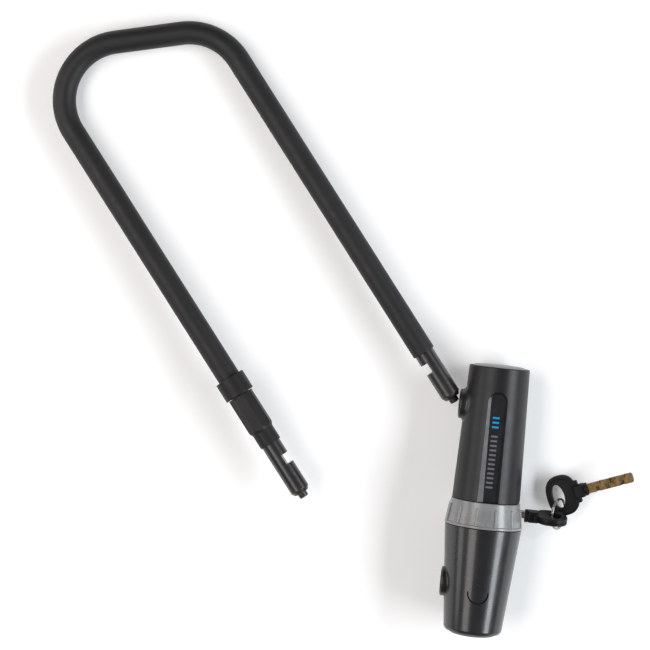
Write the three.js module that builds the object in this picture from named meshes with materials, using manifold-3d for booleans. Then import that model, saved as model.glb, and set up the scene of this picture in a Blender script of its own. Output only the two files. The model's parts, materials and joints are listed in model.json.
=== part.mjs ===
// Long-shackle U lock, lying open on a table with one key in its cylinder. Millimetres, +Z up.
import * as THREE from 'three';
import { mergeVertices } from 'three/addons/utils/BufferGeometryUtils.js';
import Module from 'manifold-3d';

const wasm = await Module();
wasm.setup();

const GAP = 0.3;

// Crossbar. Stations run along its axis from the upper end, radii are from the axis.
const CROSSBAR_LENGTH = 186;
const UPPER_END_RADIUS = 21.1;
const UPPER_FOOT_RADIUS = 23.75;
const RING_HEAD = 93.5;
const RING_FOOT = 111.5;
const RING_HEAD_RADIUS = 24.2;
const RING_RIM_RADIUS = 27.15;
const LOWER_HEAD_RADIUS = 26.9;
const LOWER_FOOT_RADIUS = 20.4;
const SPIGOT_RADIUS = 21.4;
const SPIGOT_SPLIT = 101;
const TUBE_RADIUS = 19.2;
const TUBE_BORE = 16.4;
const TUBE_HEAD = 9;
const TUBE_FOOT = 177;
const CAP_DOME = 2.4;
const FOOT_DOME = 2.8;
const INLAY_HEAD = 17;
const INLAY_WIDTH = 13;
const INLAY_DEPTH = 1.4;
const INLAY_SINK = 0.4;
const ARC_FOOT = 164;
const ARC_WIDTH = 15;
const RIB_COUNT = 12;

// Shackle: a bent bar in a soft sleeve
const LEG_SPACING = 125;
const BAR_RADIUS = 7;
const SLEEVE_RADIUS = 8.3;
const BEND_RADIUS = 41;
const SHARP_TURN = THREE.MathUtils.degToRad(115);
const LOWER_LEG_LENGTH = 300;
const BARE_UPPER = 37.2;
const NOTCH_NEAR = 22.6;
const NOTCH_LENGTH = 7.3;
const NOTCH_DEPTH = 4.8;
const CHAMFER_LENGTH = 2.8;
const CHAMFER_DEPTH = 1.8;
const NIB_RADIUS = 3.25;
const NIB_LENGTH = 3.5;
const COLLAR_RADIUS = 10.8;
const COLLAR_START = 95.4;
const COLLAR_END = 81.1;
const ADAPTER_ACROSS_FLATS = 17.4;
const ADAPTER_SIDES = 8;
const ADAPTER_TURN = -17.5;
const ADAPTER_END = 51.5;
const FOOT_RADIUS = 7.95;
const FOOT_END = 40.7;
const BAR_SIDES = 12;

// Sockets, one for each leg
const UPPER_SOCKET = 28.2;
const BOSS_RADIUS = 10.35;
const BOSS_FACE = 25.5;
const MOUTH_RADIUS = 8.7;
const MOUTH_DEPTH = 5;
const SOCKET_RADIUS = 7.5;

// Lock cylinder across the crossbar, and the bolts that it drives
const KEY_STATION = 101.6;
const HOUSING_RADIUS = 10;
const HOUSING_FACE = 18.2;
const HOUSING_BACK = -6.6;
const CORE_RADIUS = 7.85;
const CORE_BORE = 6.7;
const CORE_FLOOR = -5.5;
const CORE_FACE = 17.8;
const DISC_COUNT = 7;
const DISC_PITCH = 2.6;
const DISC_THICKNESS = 2;
const DISC_RADIUS = 6.4;
const CAM_FRONT = -6.9;
const CAM_BACK = -8.5;
const CAM_RADIUS = 8.2;
const CRANK_RADIUS = 6;
const CRANK_PIN_RADIUS = 1.5;
const CRANK_PIN_END = -12.9;
const BOLT_LINE = -11;
const BOLT_WIDTH = 6.6;
const BOLT_HEIGHT = 10;
const BOLT_ENGAGEMENT = 4.2;
const BOLT_TRAVEL = CRANK_RADIUS * Math.SQRT2;

// Pins across the tube through the bolt guides, and the screw that holds the housing
const PIN_RADIUS = 1.5;
const PIN_X = 5;
const UPPER_PIN_Y = 40;
const LOWER_PIN_Y = -37;
const SCREW_RADIUS = 1.5;
const SCREW_X = 8;

// Keys
const KEY_ROOT = 28;
const BLADE_LENGTH = 33.2;
const BLADE_RADIUS = 3.65;
const BLADE_FLAT = 1.3;
const TANG_LENGTH = 9;
const NECK_LENGTH = 7.4;
const BOW_LENGTH = 22.3;
const BOW_WIDTH = 28.7;
const BOW_THICKNESS = 5;
const BOW_HOLE_CENTRE = NECK_LENGTH + 14;
const BOW_HOLE_HALF_LENGTH = 8.5;
const BOW_HOLE_HALF_WIDTH = 4.25;
const SPLIT_RING_RADIUS = 10.6;
const SPLIT_RING_WIRE = 0.9;

// How the pieces lie: turns in degrees
const LEG_TO_CROSSBAR = 38.3;
const TIP_GAP = 5.1;
const TIP_STATION = 24.8;
const CROSSBAR_ROLL = -0.35;
const KEY_ROLL = 7;
const SPLIT_RING_LEAN = -30;
const SPLIT_RING_CENTRE = [53, 2, -15.2];
const SPARE_KEY_YAW = 22.6;
const SPARE_KEY_PITCH = 14;
const SPARE_BOW_CENTRE = [54.8, 15.2, -18.4];

const along = (station) => CROSSBAR_LENGTH / 2 - station;
const degrees = THREE.MathUtils.degToRad;
const LOWER_SOCKET = UPPER_SOCKET + LEG_SPACING;
const KEY_Y = along(KEY_STATION);
const KEY_TURN_AT_REST = degrees(KEY_ROLL);

// Locked, each bolt's nose reaches into the leg on its side; drawn back, it stands one travel away
const LOCKED_NOSE = LEG_SPACING / 2 - BAR_RADIUS + BOLT_ENGAGEMENT;
const SOCKET_MIDDLE_Y = along((UPPER_SOCKET + LOWER_SOCKET) / 2);
const UPPER_NOSE_Y = SOCKET_MIDDLE_Y + LOCKED_NOSE - BOLT_TRAVEL;
const LOWER_NOSE_Y = SOCKET_MIDDLE_Y - LOCKED_NOSE + BOLT_TRAVEL;

// Gives a closed geometry with shared vertices and with its faces pointing out
function closed(geometry) {
  const bare = geometry.index ? geometry.toNonIndexed() : geometry.clone();
  for (const name of Object.keys(bare.attributes)) {
    if (name !== 'position') bare.deleteAttribute(name);
  }
  const merged = mergeVertices(bare, 1e-4);
  const p = merged.attributes.position;
  const kept = [];
  let volume = 0;
  const [a, b, c] = [new THREE.Vector3(), new THREE.Vector3(), new THREE.Vector3()];
  for (let i = 0; i < merged.index.count; i += 3) {
    const [u, v, w] = [0, 1, 2].map((k) => merged.index.getX(i + k));
    if (u === v || v === w || w === u) continue;
    kept.push(u, v, w);
    volume += a.fromBufferAttribute(p, u).dot(b.fromBufferAttribute(p, v).cross(c.fromBufferAttribute(p, w)));
  }
  merged.setIndex(volume < 0 ? kept.reverse() : kept);
  return merged;
}

function solid(geometry) {
  const shape = closed(geometry);
  return new wasm.Manifold(new wasm.Mesh({
    numProp: 3,
    vertProperties: new Float32Array(shape.attributes.position.array),
    triVerts: new Uint32Array(shape.index.array),
  }));
}

function geometryOf(body) {
  const mesh = body.getMesh();
  const geometry = new THREE.BufferGeometry();
  geometry.setAttribute('position', new THREE.BufferAttribute(new Float32Array(mesh.vertProperties), 3));
  geometry.setIndex(new THREE.BufferAttribute(new Uint32Array(mesh.triVerts), 1));
  return geometry;
}

const cut = (base, ...tools) => geometryOf(tools.reduce((body, tool) => body.subtract(solid(tool)), solid(base)));
const join = (base, ...extras) => geometryOf(extras.reduce((body, extra) => body.add(solid(extra)), solid(base)));
const common = (base, other) => geometryOf(solid(base).intersect(solid(other)));

// A turned body about Y; the outline lists radius and place along Y, and closes on itself
function turned(outline, sides = 40) {
  const points = outline.map(([radius, y]) => new THREE.Vector2(radius, y));
  const onAxis = outline[0][0] === 0 && outline.at(-1)[0] === 0;
  if (!onAxis) points.push(points[0].clone());
  return new THREE.LatheGeometry(points, sides);
}

// A cylinder along X from one place to another
function rodX(radius, from, to, sides = 24, y = 0, z = 0) {
  const rod = new THREE.CylinderGeometry(radius, radius, Math.abs(to - from), sides);
  return rod.rotateZ(Math.PI / 2).translate((from + to) / 2, y, z);
}

// A cylinder along Z from one place to another
function rodZ(radius, from, to, sides = 16, x = 0, y = 0) {
  const rod = new THREE.CylinderGeometry(radius, radius, Math.abs(to - from), sides);
  return rod.rotateX(Math.PI / 2).translate(x, y, (from + to) / 2);
}

// A box between two corners
function block(low, high) {
  const size = high.map((value, i) => value - low[i]);
  const box = new THREE.BoxGeometry(...size);
  return box.translate(...low.map((value, i) => value + size[i] / 2));
}

// An upright prism of a strip along Y with one round end
function roundEndPrism(width, straightY, roundY, low, high) {
  const towards = Math.sign(roundY - straightY);
  const centre = roundY - (towards * width) / 2;
  const shape = new THREE.Shape();
  shape.moveTo(width / 2, straightY);
  shape.lineTo(width / 2, centre);
  shape.absarc(0, centre, width / 2, 0, Math.PI * towards, towards < 0);
  shape.lineTo(-width / 2, straightY);
  return new THREE.ExtrudeGeometry(shape, { depth: high - low, bevelEnabled: false, curveSegments: 14 })
    .translate(0, 0, low);
}

function mesh(name, geometry, color, roughness, metalness = 0) {
  const body = new THREE.Mesh(closed(geometry), new THREE.MeshStandardMaterial({ color, roughness, metalness }));
  body.name = name;
  return body;
}

function group(meshes, position = [0, 0, 0], turn = [0, 0, 0], order = 'XYZ') {
  const holder = new THREE.Group();
  holder.position.set(...position);
  holder.rotation.set(...turn.map(degrees), order);
  holder.add(...meshes);
  return holder;
}

// Crossbar covers
const upperRadiusAt = (station) => THREE.MathUtils.mapLinear(station, 0, RING_HEAD, UPPER_END_RADIUS, UPPER_FOOT_RADIUS);

function upperShell(shrink, from, to, bore) {
  return turned([
    [bore, along(from)], [upperRadiusAt(from) - shrink, along(from)],
    [upperRadiusAt(to) - shrink, along(to)], [bore, along(to)],
  ], 40);
}

function upperSleeve() {
  const bore = TUBE_RADIUS + GAP;
  const body = turned([
    [bore, along(0)], [UPPER_END_RADIUS - 0.8, along(0)], [UPPER_END_RADIUS, along(0.8)],
    [UPPER_FOOT_RADIUS, along(RING_HEAD)], [SPIGOT_RADIUS, along(RING_HEAD)],
    [SPIGOT_RADIUS, along(SPIGOT_SPLIT)], [bore, along(SPIGOT_SPLIT)],
  ], 40);
  const recess = cut(
    roundEndPrism(INLAY_WIDTH, along(RING_HEAD + 1), along(INLAY_HEAD), 0, 30),
    turned([[0, along(0)], [upperRadiusAt(0) - INLAY_DEPTH, along(0)],
      [upperRadiusAt(RING_HEAD + 4) - INLAY_DEPTH, along(RING_HEAD + 4)], [0, along(RING_HEAD + 4)]], 40),
  );
  return cut(
    body,
    recess,
    rodX(BOSS_RADIUS + GAP, -30, -12, 32, along(UPPER_SOCKET)),
    rodX(HOUSING_RADIUS + 0.8, 12, 30, 32, KEY_Y),
  );
}

function inlayStrip() {
  const prism = roundEndPrism(INLAY_WIDTH - 2 * GAP, along(RING_HEAD - GAP), along(INLAY_HEAD + GAP), 10, 30);
  const layer = upperShell(INLAY_SINK, 0, RING_HEAD, UPPER_END_RADIUS - INLAY_DEPTH + 0.5);
  const floor = turned([[0, along(0)], [upperRadiusAt(0) - INLAY_DEPTH + GAP, along(0)],
    [upperRadiusAt(RING_HEAD) - INLAY_DEPTH + GAP, along(RING_HEAD)], [0, along(RING_HEAD)]], 40);
  return cut(common(layer, prism), floor);
}

function lowerSleeve() {
  const bore = TUBE_RADIUS + GAP;
  const body = turned([
    [SPIGOT_RADIUS, along(SPIGOT_SPLIT + 1)], [SPIGOT_RADIUS, along(RING_FOOT + GAP)],
    [LOWER_HEAD_RADIUS, along(RING_FOOT + GAP)], [LOWER_FOOT_RADIUS, along(CROSSBAR_LENGTH - 2)],
    [LOWER_FOOT_RADIUS - 1.2, along(CROSSBAR_LENGTH)], [18.2, along(CROSSBAR_LENGTH)],
    [18.2, along(TUBE_FOOT + 1)], [bore, along(TUBE_FOOT + 1)], [bore, along(SPIGOT_SPLIT + 1)],
  ], 40);
  const outer = roundEndPrism(ARC_WIDTH, along(ARC_FOOT - 9), along(ARC_FOOT), 0, 30);
  const inner = roundEndPrism(ARC_WIDTH - 2.4, along(ARC_FOOT - 12), along(ARC_FOOT - 1.2), -1, 31);
  const radiusAt = (station) => THREE.MathUtils.mapLinear(
    station, RING_FOOT, CROSSBAR_LENGTH - 2, LOWER_HEAD_RADIUS, LOWER_FOOT_RADIUS,
  );
  const floor = turned([[0, along(ARC_FOOT - 20)], [radiusAt(ARC_FOOT - 20) - 0.8, along(ARC_FOOT - 20)],
    [radiusAt(ARC_FOOT + 10) - 0.8, along(ARC_FOOT + 10)], [0, along(ARC_FOOT + 10)]], 40);
  return cut(
    body,
    cut(outer, inner, floor),
    rodX(BOSS_RADIUS + GAP, -32, -12, 32, along(LOWER_SOCKET)),
    rodX(HOUSING_RADIUS + 0.8, 12, 30, 32, KEY_Y),
  );
}

function crossbarTube() {
  const body = turned([
    [TUBE_BORE, along(TUBE_HEAD)], [TUBE_RADIUS, along(TUBE_HEAD)],
    [TUBE_RADIUS, along(TUBE_FOOT)], [TUBE_BORE, along(TUBE_FOOT)],
  ], 32);
  const sockets = [UPPER_SOCKET, LOWER_SOCKET].flatMap((station) => [
    rodX(SOCKET_RADIUS, -25, -8, 24, along(station)),
    rodX(NIB_RADIUS + 0.5, 8, 25, 16, along(station)),
  ]);
  const pins = [UPPER_PIN_Y, LOWER_PIN_Y].map((y) => rodZ(PIN_RADIUS + GAP, -25, 25, 16, PIN_X, y));
  return cut(
    body,
    ...sockets,
    ...pins,
    rodX(HOUSING_RADIUS + GAP, 8, 25, 32, KEY_Y),
    rodZ(SCREW_RADIUS + GAP, -25, -12, 12, SCREW_X, KEY_Y),
  );
}

// A domed cap whose stem enters the tube; the end is at Y = 0 and the crossbar lies below it
function endCap(flangeRadius, dome, tubeDepth) {
  const rim = 1.2;
  return turned([
    [0, dome], [flangeRadius * 0.45, dome], [flangeRadius * 0.85, dome * 0.7], [flangeRadius, 0],
    [flangeRadius, -tubeDepth + GAP], [TUBE_BORE - GAP, -tubeDepth + GAP],
    [TUBE_BORE - GAP, -tubeDepth - 4], [TUBE_BORE - GAP - rim, -tubeDepth - 5], [0, -tubeDepth - 5],
  ], 32);
}

function dustRing() {
  const bore = SPIGOT_RADIUS + GAP;
  const rimHead = RING_FOOT - 1.6;
  const body = turned([
    [bore, along(RING_HEAD + GAP)], [RING_HEAD_RADIUS, along(RING_HEAD + GAP)],
    [RING_RIM_RADIUS - 0.5, along(rimHead)], [RING_RIM_RADIUS, along(rimHead + 0.4)],
    [RING_RIM_RADIUS, along(RING_FOOT)], [bore, along(RING_FOOT)],
  ], 40);
  const ribs = Array.from({ length: RIB_COUNT }, (_, i) => {
    const rib = new THREE.CapsuleGeometry(0.9, 9.5, 2, 6);
    rib.rotateZ(Math.atan2(RING_RIM_RADIUS - 0.5 - RING_HEAD_RADIUS, rimHead - RING_HEAD));
    return rib.translate(25.35, along(RING_HEAD + 11), 0).rotateY((i * 2 * Math.PI) / RIB_COUNT + Math.PI / 12);
  });
  const window = new THREE.Shape();
  window.absarc(0, 0.2, 4.8, 0, Math.PI, false);
  window.absarc(0, -8.1, 4.8, Math.PI, 2 * Math.PI, false);
  const slot = new THREE.ExtrudeGeometry(window, { depth: 30, bevelEnabled: false, curveSegments: 10 });
  slot.rotateX(Math.PI / 2).rotateZ(Math.PI / 2).translate(0, KEY_Y, 0);
  const trim = turned([[0, along(RING_HEAD - 4)], [RING_RIM_RADIUS, along(RING_HEAD - 4)],
    [RING_RIM_RADIUS, along(RING_FOOT)], [0, along(RING_FOOT)]], 40);
  return cut(common(join(body, ...ribs), trim), slot);
}

// A socket boss on the crossbar's side; its face looks along -X
function socketBoss() {
  const body = turned([
    [SOCKET_RADIUS, 14], [BOSS_RADIUS, 14], [BOSS_RADIUS, BOSS_FACE - 1.2], [BOSS_RADIUS - 1.2, BOSS_FACE],
    [MOUTH_RADIUS, BOSS_FACE], [MOUTH_RADIUS, BOSS_FACE - MOUTH_DEPTH], [SOCKET_RADIUS, BOSS_FACE - MOUTH_DEPTH],
  ], 24).rotateZ(Math.PI / 2);
  const tube = new THREE.CylinderGeometry(TUBE_RADIUS + GAP, TUBE_RADIUS + GAP, 60, 40);
  return cut(body, tube);
}

function socketSeal() {
  const back = BOSS_FACE - MOUTH_DEPTH + GAP;
  return turned([[7.3, back], [8.35, back], [8.35, back + 1.1], [7.3, back + 1.1]], 18).rotateZ(Math.PI / 2);
}

// Shackle. Its own frame has the upper leg's flat end at the origin, both tips looking along +X and
// the lower leg at Y = -LEG_SPACING. The line runs from the lower leg round to the upper one.
class ShackleLine extends THREE.Curve {
  constructor(lowerEnd, upperEnd) {
    super();
    const crown = (LEG_SPACING - 2 * BEND_RADIUS) / Math.sin(SHARP_TURN);
    const turns = [
      { steps: 1, length: LOWER_LEG_LENGTH + lowerEnd, turn: 0 },
      { steps: 11, length: BEND_RADIUS * SHARP_TURN, turn: SHARP_TURN },
      { steps: 1, length: crown, turn: 0 },
      { steps: 7, length: BEND_RADIUS * (Math.PI - SHARP_TURN), turn: Math.PI - SHARP_TURN },
    ];
    let heading = Math.PI;
    let at = new THREE.Vector3(lowerEnd, -LEG_SPACING, 0);
    this.stations = [{ at: at.clone(), heading }];
    for (const { steps, length, turn } of turns) {
      for (let i = 0; i < steps; i += 1) {
        const bend = turn / steps;
        const chord = turn ? 2 * BEND_RADIUS * Math.sin(bend / 2) : length / steps;
        const middle = heading - bend / 2;
        at = at.clone().add(new THREE.Vector3(Math.cos(middle), Math.sin(middle), 0).multiplyScalar(chord));
        heading -= bend;
        this.stations.push({ at: at.clone(), heading });
      }
    }
    this.stations.push({ at: new THREE.Vector3(upperEnd, 0, 0), heading });
  }

  getPointAt(u) {
    return this.stations[Math.round(u * (this.stations.length - 1))].at.clone();
  }

  getTangentAt(u) {
    const { heading } = this.stations[Math.round(u * (this.stations.length - 1))];
    return new THREE.Vector3(Math.cos(heading), Math.sin(heading), 0);
  }
}

function circleShape(radius, boreRadius) {
  const points = (r) => Array.from({ length: BAR_SIDES }, (_, i) => {
    const angle = (i * 2 * Math.PI) / BAR_SIDES;
    return new THREE.Vector2(r * Math.cos(angle), r * Math.sin(angle));
  });
  const shape = new THREE.Shape(points(radius));
  if (boreRadius) shape.holes.push(new THREE.Path(points(boreRadius)));
  return shape;
}

function alongShackle(shape, lowerEnd, upperEnd) {
  const line = new ShackleLine(lowerEnd, upperEnd);
  return new THREE.ExtrudeGeometry(shape, { steps: line.stations.length - 1, extrudePath: line });
}

function shackleBar() {
  const bar = alongShackle(circleShape(BAR_RADIUS), -CHAMFER_LENGTH, -CHAMFER_LENGTH);
  const tip = (y) => turned([
    [0, -CHAMFER_LENGTH - 1], [BAR_RADIUS, -CHAMFER_LENGTH - 1], [BAR_RADIUS, -CHAMFER_LENGTH],
    [BAR_RADIUS - CHAMFER_DEPTH, 0], [NIB_RADIUS, 0], [NIB_RADIUS, NIB_LENGTH], [0, NIB_LENGTH],
  ], BAR_SIDES).rotateZ(-Math.PI / 2).translate(0, y, 0);
  const floor = BAR_RADIUS - NOTCH_DEPTH;
  const far = -NOTCH_NEAR - NOTCH_LENGTH;
  return cut(
    join(bar, tip(0), tip(-LEG_SPACING)),
    block([far, -12, -12], [-NOTCH_NEAR, -floor, 12]),
    block([far, -LEG_SPACING + floor, -12], [-NOTCH_NEAR, -LEG_SPACING + 12, 12]),
  );
}

function shackleSleeve() {
  const shape = circleShape(SLEEVE_RADIUS, BAR_RADIUS + GAP);
  return alongShackle(shape, -(COLLAR_START + COLLAR_END) / 2 - GAP, -BARE_UPPER);
}

function adapterCollar() {
  const middle = -(COLLAR_START + COLLAR_END) / 2;
  return turned([
    [SLEEVE_RADIUS + GAP, -COLLAR_START], [COLLAR_RADIUS - 0.6, -COLLAR_START],
    [COLLAR_RADIUS, -COLLAR_START + 0.6], [COLLAR_RADIUS, -COLLAR_END - 0.6],
    [COLLAR_RADIUS - 0.6, -COLLAR_END], [BAR_RADIUS + GAP, -COLLAR_END],
    [BAR_RADIUS + GAP, middle], [SLEEVE_RADIUS + GAP, middle],
  ], 24).rotateZ(-Math.PI / 2);
}

function adapterBody() {
  const corner = ADAPTER_ACROSS_FLATS / 2 / Math.cos(Math.PI / ADAPTER_SIDES);
  const prism = new THREE.CylinderGeometry(corner, corner, COLLAR_END - GAP - ADAPTER_END, ADAPTER_SIDES)
    .rotateY(degrees(ADAPTER_TURN))
    .translate(0, -(COLLAR_END - GAP + ADAPTER_END) / 2, 0);
  const shoulder = turned([
    [0, -COLLAR_END + GAP], [corner, -COLLAR_END + GAP], [corner, -ADAPTER_END - 2.4],
    [FOOT_RADIUS, -ADAPTER_END], [0, -ADAPTER_END],
  ], 32);
  const foot = turned([
    [0, -ADAPTER_END - 1], [FOOT_RADIUS, -ADAPTER_END - 1], [FOOT_RADIUS, -FOOT_END - 0.6],
    [FOOT_RADIUS - 0.3, -FOOT_END], [0, -FOOT_END],
  ], 32);
  const bore = new THREE.CylinderGeometry(BAR_RADIUS + GAP, BAR_RADIUS + GAP, 60, 24).translate(0, -60, 0);
  return cut(join(common(prism, shoulder), foot), bore).rotateZ(-Math.PI / 2);
}

// Lock cylinder: its own frame has the key axis along X
function cylinderHousing() {
  return cut(
    rodX(HOUSING_RADIUS, HOUSING_BACK, HOUSING_FACE, 32),
    rodX(CORE_RADIUS + GAP, HOUSING_BACK - 1, HOUSING_FACE + 1, 32),
    block([-4, -1, 7], [15, 1, 9.2]),
    rodZ(SCREW_RADIUS + GAP, -12, -9.1, 12, SCREW_X),
  );
}

function cylinderCore() {
  const body = cut(
    rodX(CORE_RADIUS, CORE_FLOOR - 1.1, CORE_FACE, 32),
    rodX(CORE_BORE, CORE_FLOOR, CORE_FACE + 1, 32),
    block([-4, -0.95, 4], [15, 0.95, 9]),
  );
  return join(body, block([CAM_BACK + 0.2, -3, -3], [CORE_FLOOR - 0.5, 3, 3]));
}

// The half-round section of the blade, and of the hole that it fits, looking along X
function bladeShape(clearance) {
  const radius = BLADE_RADIUS + clearance;
  const lean = Math.asin((BLADE_FLAT + clearance) / radius);
  const shape = new THREE.Shape();
  shape.absarc(0, 0, radius, Math.PI - lean, 2 * Math.PI + lean, false);
  return shape;
}

function bladePrism(clearance, from, to) {
  const prism = new THREE.ExtrudeGeometry(bladeShape(clearance), {
    depth: to - from, bevelEnabled: false, curveSegments: 10,
  });
  return prism.rotateX(Math.PI / 2).rotateZ(Math.PI / 2).rotateX(Math.PI / 2).translate(from, 0, 0);
}

function lockDisc(index) {
  const from = CORE_FLOOR + GAP + index * DISC_PITCH;
  return cut(
    rodX(DISC_RADIUS, from, from + DISC_THICKNESS, 20),
    bladePrism(GAP, from - 1, from + DISC_THICKNESS + 1).rotateX(KEY_TURN_AT_REST),
  );
}

function keywayPlate() {
  const from = CORE_FLOOR + GAP + DISC_COUNT * DISC_PITCH;
  return cut(
    rodX(DISC_RADIUS, from, CORE_FACE, 24),
    bladePrism(GAP, from - 1, CORE_FACE + 1).rotateX(KEY_TURN_AT_REST),
  );
}

const sideBar = () => block([-3.6, -0.65, 6.75], [14.6, 0.65, 7.7]);

function driveCam() {
  const disc = cut(rodX(CAM_RADIUS, CAM_BACK, CAM_FRONT, 32), block([-10, -3.3, -3.3], [-5, 3.3, 3.3]));
  const offset = CRANK_RADIUS / Math.SQRT2;
  return join(disc, ...[-offset, offset].map(
    (place) => rodX(CRANK_PIN_RADIUS, CRANK_PIN_END, CAM_BACK + 0.5, 12, place, place),
  ));
}

// A sliding bolt seen as the upper one, drawn back, with Y = 0 at the key axis. Its forked tail
// lies on the side below the axis.
function slidingBolt(noseY) {
  const low = BOLT_LINE - BOLT_WIDTH / 2;
  const high = BOLT_LINE + BOLT_WIDTH / 2;
  const tailY = -BOLT_TRAVEL / 2;
  const pinSpace = CRANK_PIN_RADIUS + GAP;
  const bar = block([low, 8.6, -BOLT_HEIGHT / 2], [high, noseY, BOLT_HEIGHT / 2]);
  const tail = block([CRANK_PIN_END + 0.1, tailY - 3.4, -9.5], [CAM_BACK - GAP, 10, -0.9]);
  const slot = block([low - 1, tailY - pinSpace, -7.9], [high + 3, tailY + pinSpace, -2.4]);
  return cut(join(bar, cut(tail, block([-20, 9, -12], [0, 12, -BOLT_HEIGHT / 2]))), slot);
}

function boltGuide(from, to, pinY) {
  const half = BOLT_WIDTH / 2 + 0.35;
  const channel = BOLT_HEIGHT / 2 + 0.35;
  const body = new THREE.CylinderGeometry(TUBE_BORE - GAP, TUBE_BORE - GAP, to - from, 32)
    .translate(0, (from + to) / 2, 0);
  return cut(
    body,
    block([BOLT_LINE - half, from - 1, -channel], [BOLT_LINE + half, to + 1, channel]),
    rodZ(PIN_RADIUS + GAP, -20, 20, 16, PIN_X, pinY),
  );
}

const guidePin = (y) => rodZ(PIN_RADIUS, -18, 18, 16, PIN_X, y);

// Keys: the blade's root is at X = 0, the blade runs along -X and the bow lies along +X,
// wide along Z and thin along Y
function keyBlade() {
  const blade = bladePrism(0, -BLADE_LENGTH, 0);
  return join(blade, block([-1, -1.3, -2.6], [TANG_LENGTH, 1.3, 1.2]));
}

function keyBow() {
  const outline = new THREE.Shape();
  const centre = NECK_LENGTH + BOW_LENGTH / 2;
  outline.absellipse(centre, 0, BOW_LENGTH / 2, BOW_WIDTH / 2, 0, 2 * Math.PI, false, 0);
  const plate = new THREE.ExtrudeGeometry(outline, {
    depth: BOW_THICKNESS - 1.2, bevelThickness: 0.6, bevelSize: 0.6, bevelOffset: -0.6, bevelSegments: 1,
    curveSegments: 11,
  }).translate(0, 0, -(BOW_THICKNESS - 1.2) / 2).rotateX(Math.PI / 2);
  const hole = new THREE.Shape();
  hole.absellipse(BOW_HOLE_CENTRE, 0, BOW_HOLE_HALF_WIDTH, BOW_HOLE_HALF_LENGTH, 0, 2 * Math.PI, false, 0);
  const opening = new THREE.ExtrudeGeometry(hole, { depth: 12, bevelEnabled: false, curveSegments: 9 })
    .translate(0, 0, -6).rotateX(Math.PI / 2);
  const neck = block([0.05, -3.9, -4.8], [NECK_LENGTH + 2.5, 3.9, 4.8]);
  const collar = rodX(4.6, 0.05, 2.2, 20);
  const shoulder = block([NECK_LENGTH - 1.5, -BOW_THICKNESS / 2, -8], [NECK_LENGTH + 4, BOW_THICKNESS / 2, 8]);
  return cut(
    join(plate, cut(neck, block([-1, -5, -6], [2.2, 5, 6])), collar, shoulder),
    opening,
    block([-1, -1.3 - GAP, -2.6 - GAP], [TANG_LENGTH + GAP, 1.3 + GAP, 1.2 + GAP]),
  );
}

const splitRing = () => new THREE.TorusGeometry(SPLIT_RING_RADIUS, SPLIT_RING_WIRE, 6, 30).rotateY(Math.PI / 2);

// Assembly
const BLACK_PLASTIC = 0x2c2d31;
const BLACK_RUBBER = 0x1d1e20;
const STEEL = 0x8d9094;
const BLACK_STEEL = 0x202124;
const ZINC = 0x9a9c9f;
const BRASS = 0xa98a4f;

const coverPieces = [
  mesh('upper_sleeve', upperSleeve(), BLACK_PLASTIC, 0.45),
  mesh('lower_sleeve', lowerSleeve(), BLACK_PLASTIC, 0.3),
  mesh('crossbar_tube', crossbarTube(), STEEL, 0.4, 1),
  mesh('inlay_strip', inlayStrip(), 0x101114, 0.2),
];
const upperCap = mesh('upper_end_cap', endCap(TUBE_RADIUS, CAP_DOME, TUBE_HEAD), 0x6f7174, 0.5);
upperCap.position.y = along(0);
const lowerCap = mesh('lower_end_cap', endCap(17.9, FOOT_DOME, CROSSBAR_LENGTH - TUBE_FOOT), BLACK_PLASTIC, 0.4);
lowerCap.position.y = along(CROSSBAR_LENGTH);
lowerCap.rotation.z = Math.PI;

const socketPieces = [['upper', UPPER_SOCKET], ['lower', LOWER_SOCKET]].flatMap(([side, station]) => {
  const boss = mesh(`${side}_socket_boss`, socketBoss(), BLACK_PLASTIC, 0.35);
  const seal = mesh(`${side}_socket_seal`, socketSeal(), BLACK_RUBBER, 0.8);
  boss.position.y = along(station);
  seal.position.y = along(station);
  return [boss, seal];
});

const guidePieces = [
  mesh('upper_guide', boltGuide(14, 56, UPPER_PIN_Y), ZINC, 0.5, 0.8),
  mesh('lower_guide', boltGuide(-47.5, -27.5, LOWER_PIN_Y), ZINC, 0.5, 0.8),
  mesh('upper_guide_pin', guidePin(UPPER_PIN_Y), STEEL, 0.3, 1),
  mesh('lower_guide_pin', guidePin(LOWER_PIN_Y), STEEL, 0.3, 1),
];

const fixedCylinder = group([
  mesh('cylinder_housing', cylinderHousing(), ZINC, 0.4, 0.9),
  mesh('cylinder_screw', rodZ(SCREW_RADIUS, -17, -9.4, 12, SCREW_X), BLACK_STEEL, 0.4, 1),
], [0, KEY_Y, 0]);

const upperBolt = mesh('upper_bolt', slidingBolt(UPPER_NOSE_Y - KEY_Y), STEEL, 0.3, 1);
upperBolt.position.y = KEY_Y;
const lowerBolt = mesh('lower_bolt', slidingBolt(KEY_Y - LOWER_NOSE_Y), STEEL, 0.3, 1);
lowerBolt.position.y = KEY_Y;
lowerBolt.rotation.x = Math.PI;

const keyInLock = group([
  mesh('key_blade', keyBlade(), BRASS, 0.35, 1),
  mesh('key_bow', keyBow(), BLACK_PLASTIC, 0.5),
], [KEY_ROOT, 0, 0], [KEY_ROLL, 0, 0]);

const ringOnKey = group(
  [mesh('split_ring', splitRing(), STEEL, 0.25, 1)],
  SPLIT_RING_CENTRE,
  [0, SPLIT_RING_LEAN, 0],
);

const spareKeyPieces = group([
  mesh('spare_key_blade', keyBlade(), BRASS, 0.35, 1),
  mesh('spare_key_bow', keyBow(), BLACK_PLASTIC, 0.5),
], [-NECK_LENGTH - BOW_LENGTH / 2, 0, 0]);
const spareKey = group(
  [group([spareKeyPieces], [0, 0, 0], [-90, 0, 0])],
  SPARE_BOW_CENTRE,
  [0, SPARE_KEY_PITCH, SPARE_KEY_YAW + 180],
  'ZYX',
);

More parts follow.
